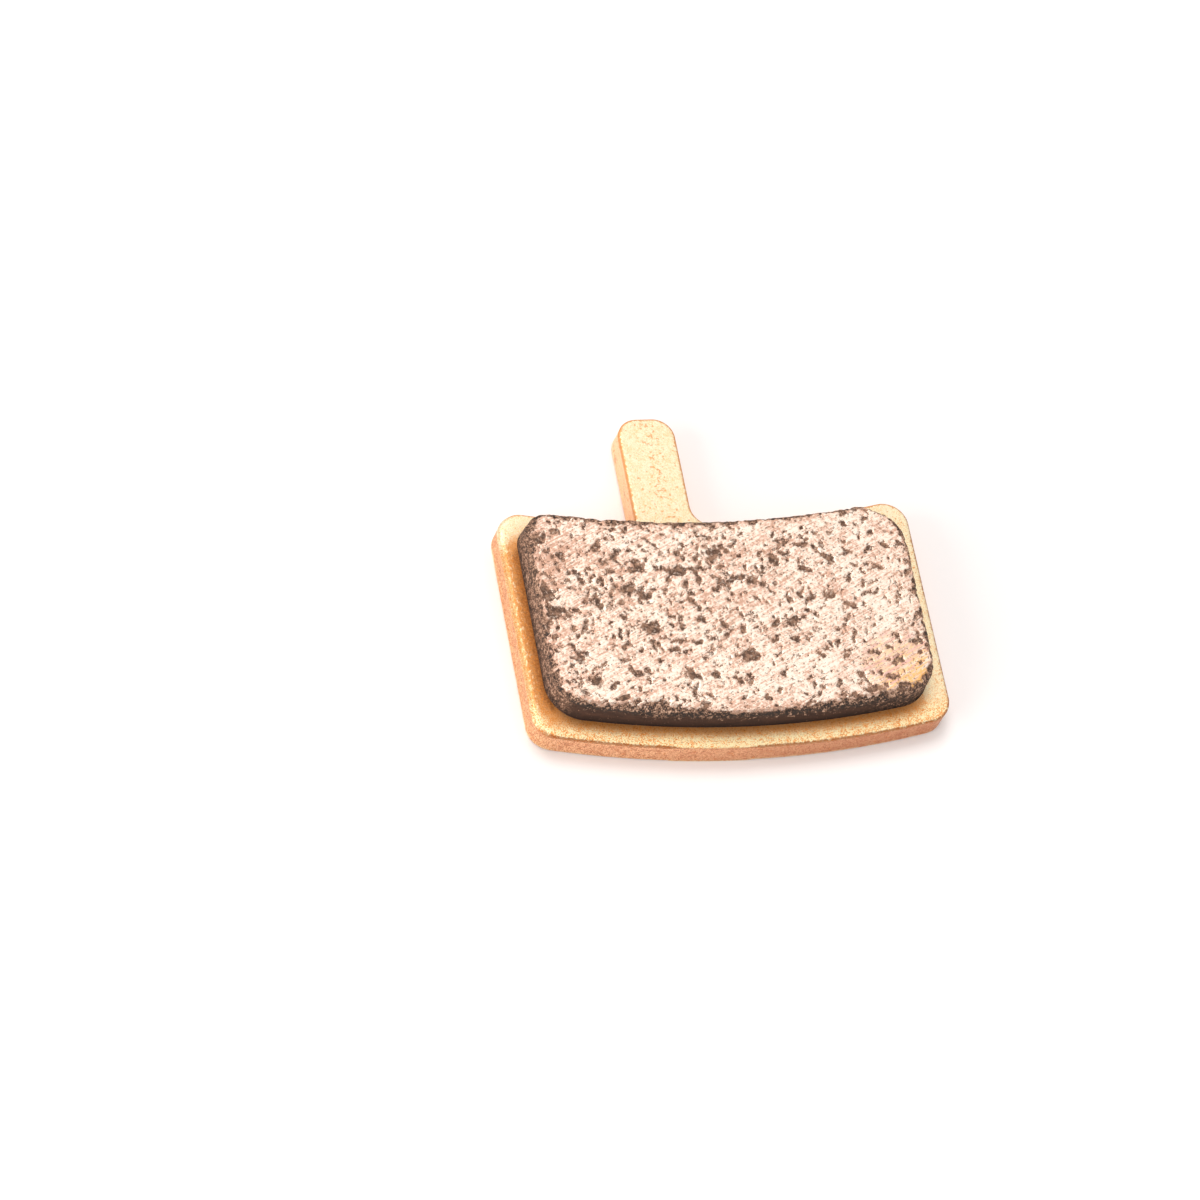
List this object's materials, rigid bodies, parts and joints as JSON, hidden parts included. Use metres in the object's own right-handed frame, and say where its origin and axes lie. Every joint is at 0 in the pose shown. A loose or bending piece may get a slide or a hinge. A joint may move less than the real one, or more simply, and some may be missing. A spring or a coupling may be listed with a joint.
{
  "type": "bicycle disc brake pad",
  "caption": "Flat plated steel backing plate with curved edges and an offset finger tab, carrying a sintered friction block that presses on a brake rotor.",
  "frame": {"origin": "middle of the plate's back face, where the caliper's piston pushes", "axes": "+X along the plate, +Y towards the finger tab, +Z out of the friction face towards the rotor"},
  "size_m": [0.03, 0.0257, 0.0041],
  "materials": {
    "plated_steel": "thin copper-gold plating over a fine grainy steel surface",
    "sintered_metal": "ground sintered metal with dark open pores"
  },
  "bodies": {
    "root": {"backing_plate": "plated_steel", "friction_block": "sintered_metal"}
  },
  "joints": []
}
